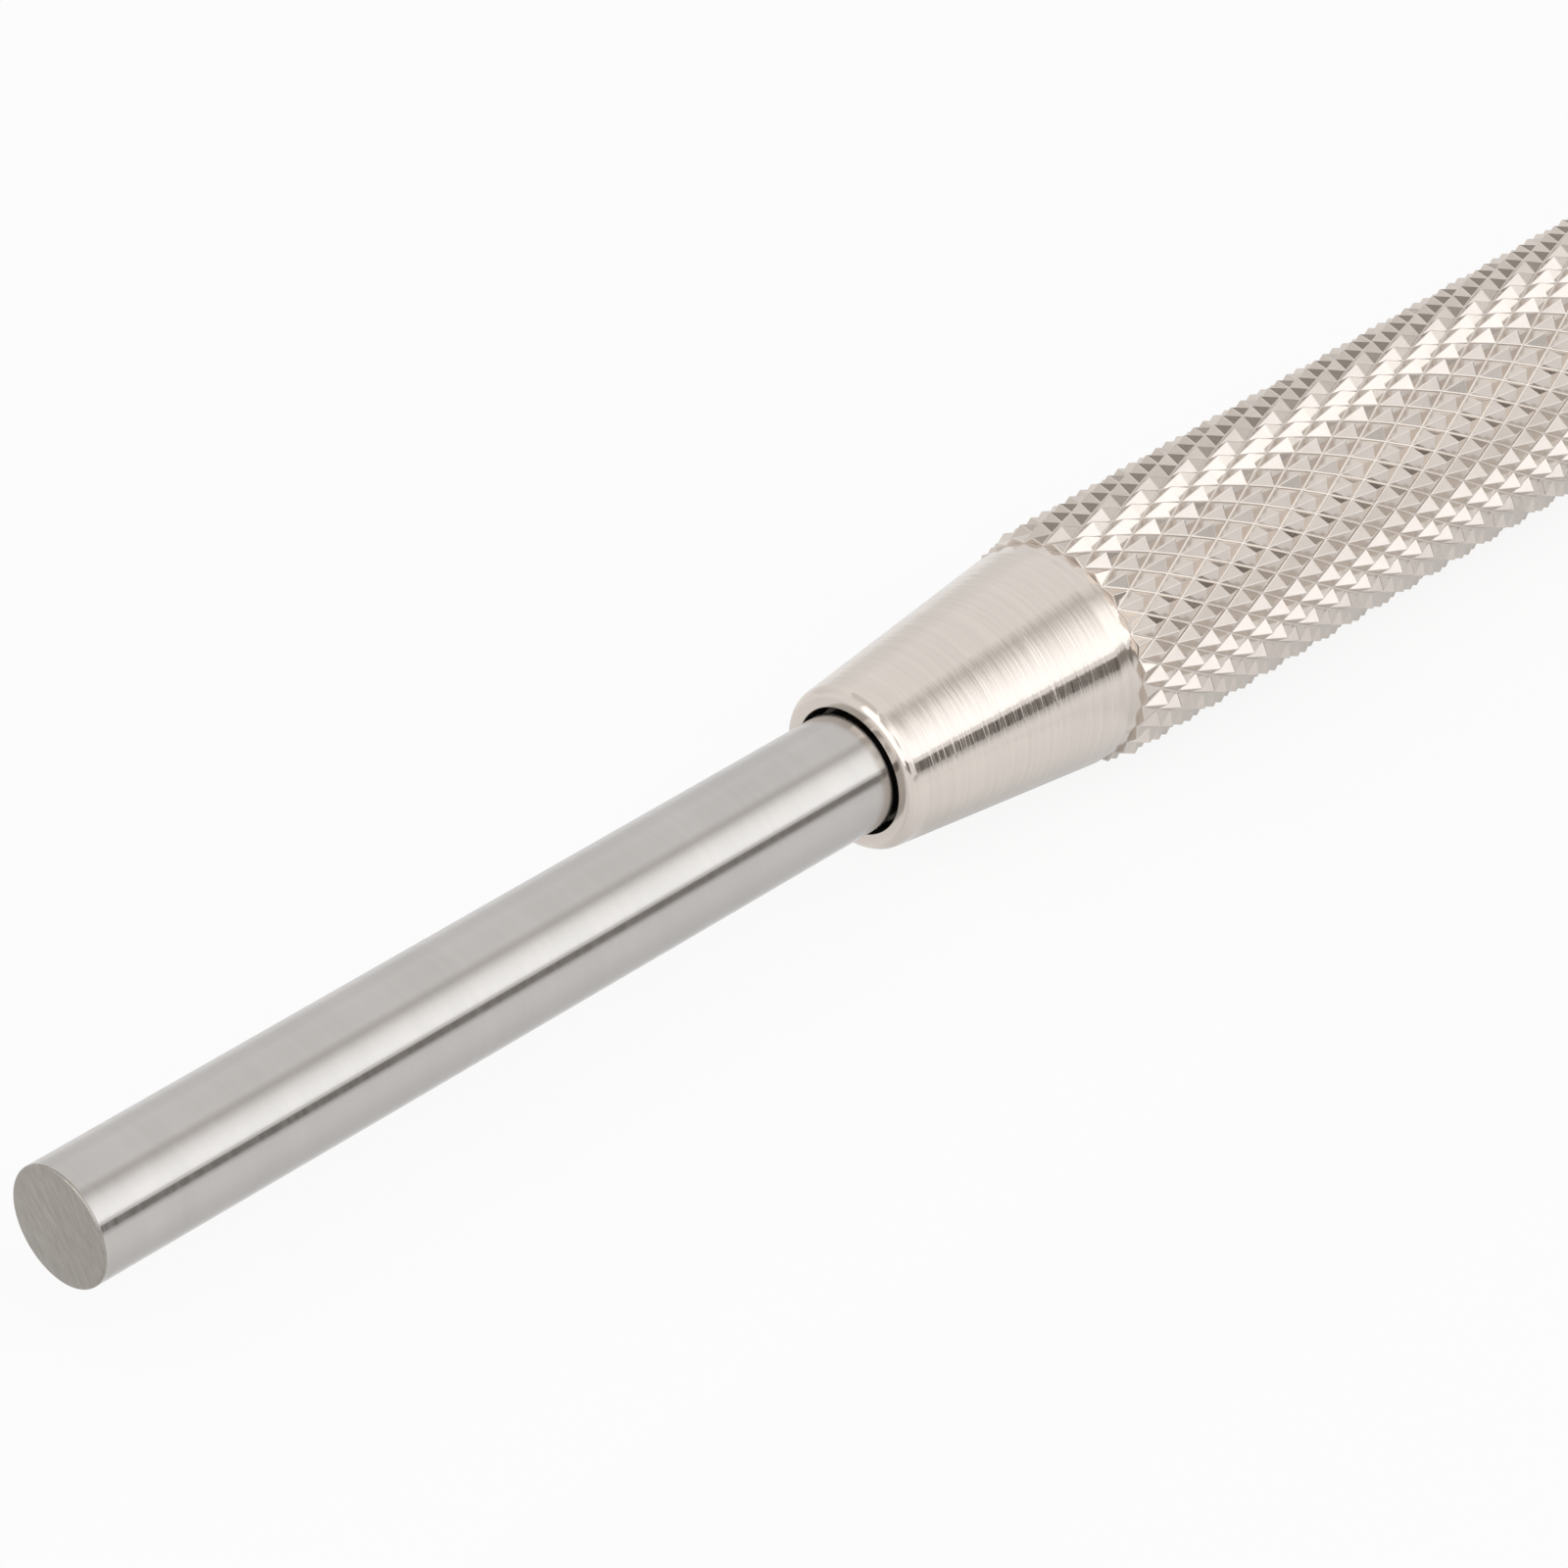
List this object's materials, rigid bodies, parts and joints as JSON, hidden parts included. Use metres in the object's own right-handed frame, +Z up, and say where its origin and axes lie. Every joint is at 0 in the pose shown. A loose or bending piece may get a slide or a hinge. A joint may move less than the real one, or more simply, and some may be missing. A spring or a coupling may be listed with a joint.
{
  "type": "pin punch",
  "caption": "Slim pin punch: a ground steel pin in a plain striking head, with a knurled nickel-plated sleeve that slides forward to guide the pin.",
  "frame": {"origin": "centre of the pin's flat working face", "axes": "+X back along the pin towards the striking head, +Z up with the tool lying on its side"},
  "size_m": [0.15, 0.0122, 0.0122],
  "materials": {
    "ground_steel": "ground and polished, mirror-like along the length",
    "turned_steel": "fine turned",
    "nickel_plate": "satin nickel plate over turning lines and knurl",
    "bush_bronze": "bored and faced",
    "ring_rubber": "moulded",
    "spring_wire": "drawn wire"
  },
  "bodies": {
    "punch": {"punch_pin": "ground_steel", "striking_head": "turned_steel"},
    "drag_rings": {"friction_ring": "ring_rubber", "stop_ring": "spring_wire"},
    "sleeve": {"guide_sleeve": "nickel_plate", "rear_guide_bush": "bush_bronze"}
  },
  "joints": [
    {"name": "sleeve_spin", "type": "hinge", "parent": "punch", "child": "drag_rings", "pos_m": [0.07, 0, 0], "axis": [1, 0, 0], "continuous": true},
    {"name": "sleeve_slide", "type": "slide", "parent": "drag_rings", "child": "sleeve", "axis": [-1, 0, 0], "range_m": [0, 0.046]}
  ]
}
